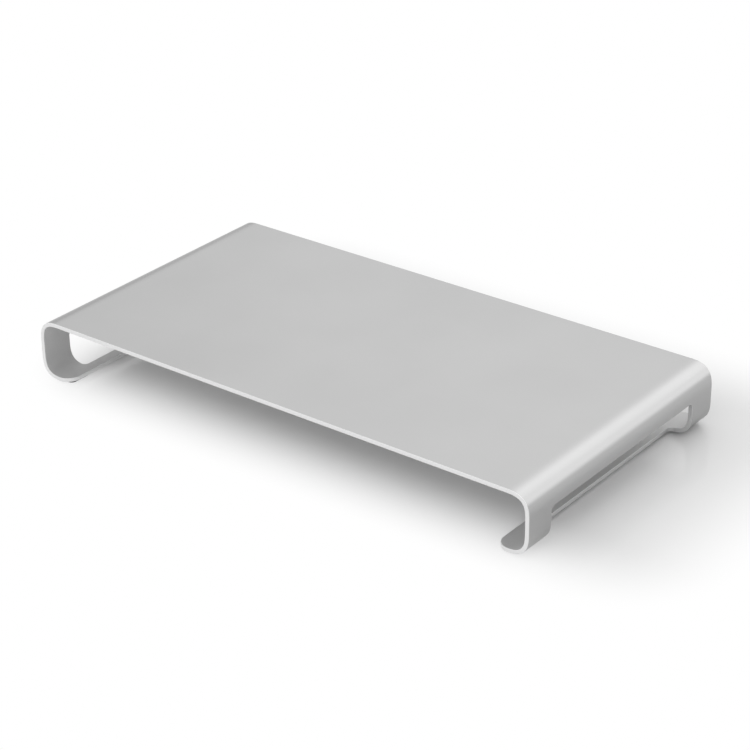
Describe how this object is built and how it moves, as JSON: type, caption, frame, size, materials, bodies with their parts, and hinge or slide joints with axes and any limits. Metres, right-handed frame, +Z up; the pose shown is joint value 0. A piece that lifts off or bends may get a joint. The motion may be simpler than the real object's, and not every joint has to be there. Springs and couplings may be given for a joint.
{
  "type": "monitor riser stand",
  "caption": "Low bridge-shaped monitor riser bent from aluminium sheet, with windowed side walls and inward foot flanges on rubber anti-slip pads.",
  "frame": {"origin": "middle of the footprint, on the desk surface that the foot pads stand on", "axes": "+X to the stand's right as seen from the front, +Y to the rear, +Z up"},
  "size_m": [0.4, 0.21, 0.0444],
  "materials": {
    "satin_aluminium": "bead-blasted and clear anodised, with bright cut edges",
    "pad_rubber": "matte, fine moulded texture",
    "adhesive_film": "translucent pressure-sensitive film"
  },
  "bodies": {
    "root": {"stand_body": "satin_aluminium", "foot_pad_front_left": "pad_rubber", "foot_pad_front_right": "pad_rubber", "foot_pad_rear_left": "pad_rubber", "foot_pad_rear_right": "pad_rubber", "adhesive_film_front_left": "adhesive_film", "adhesive_film_front_right": "adhesive_film", "adhesive_film_rear_left": "adhesive_film", "adhesive_film_rear_right": "adhesive_film"}
  },
  "joints": []
}
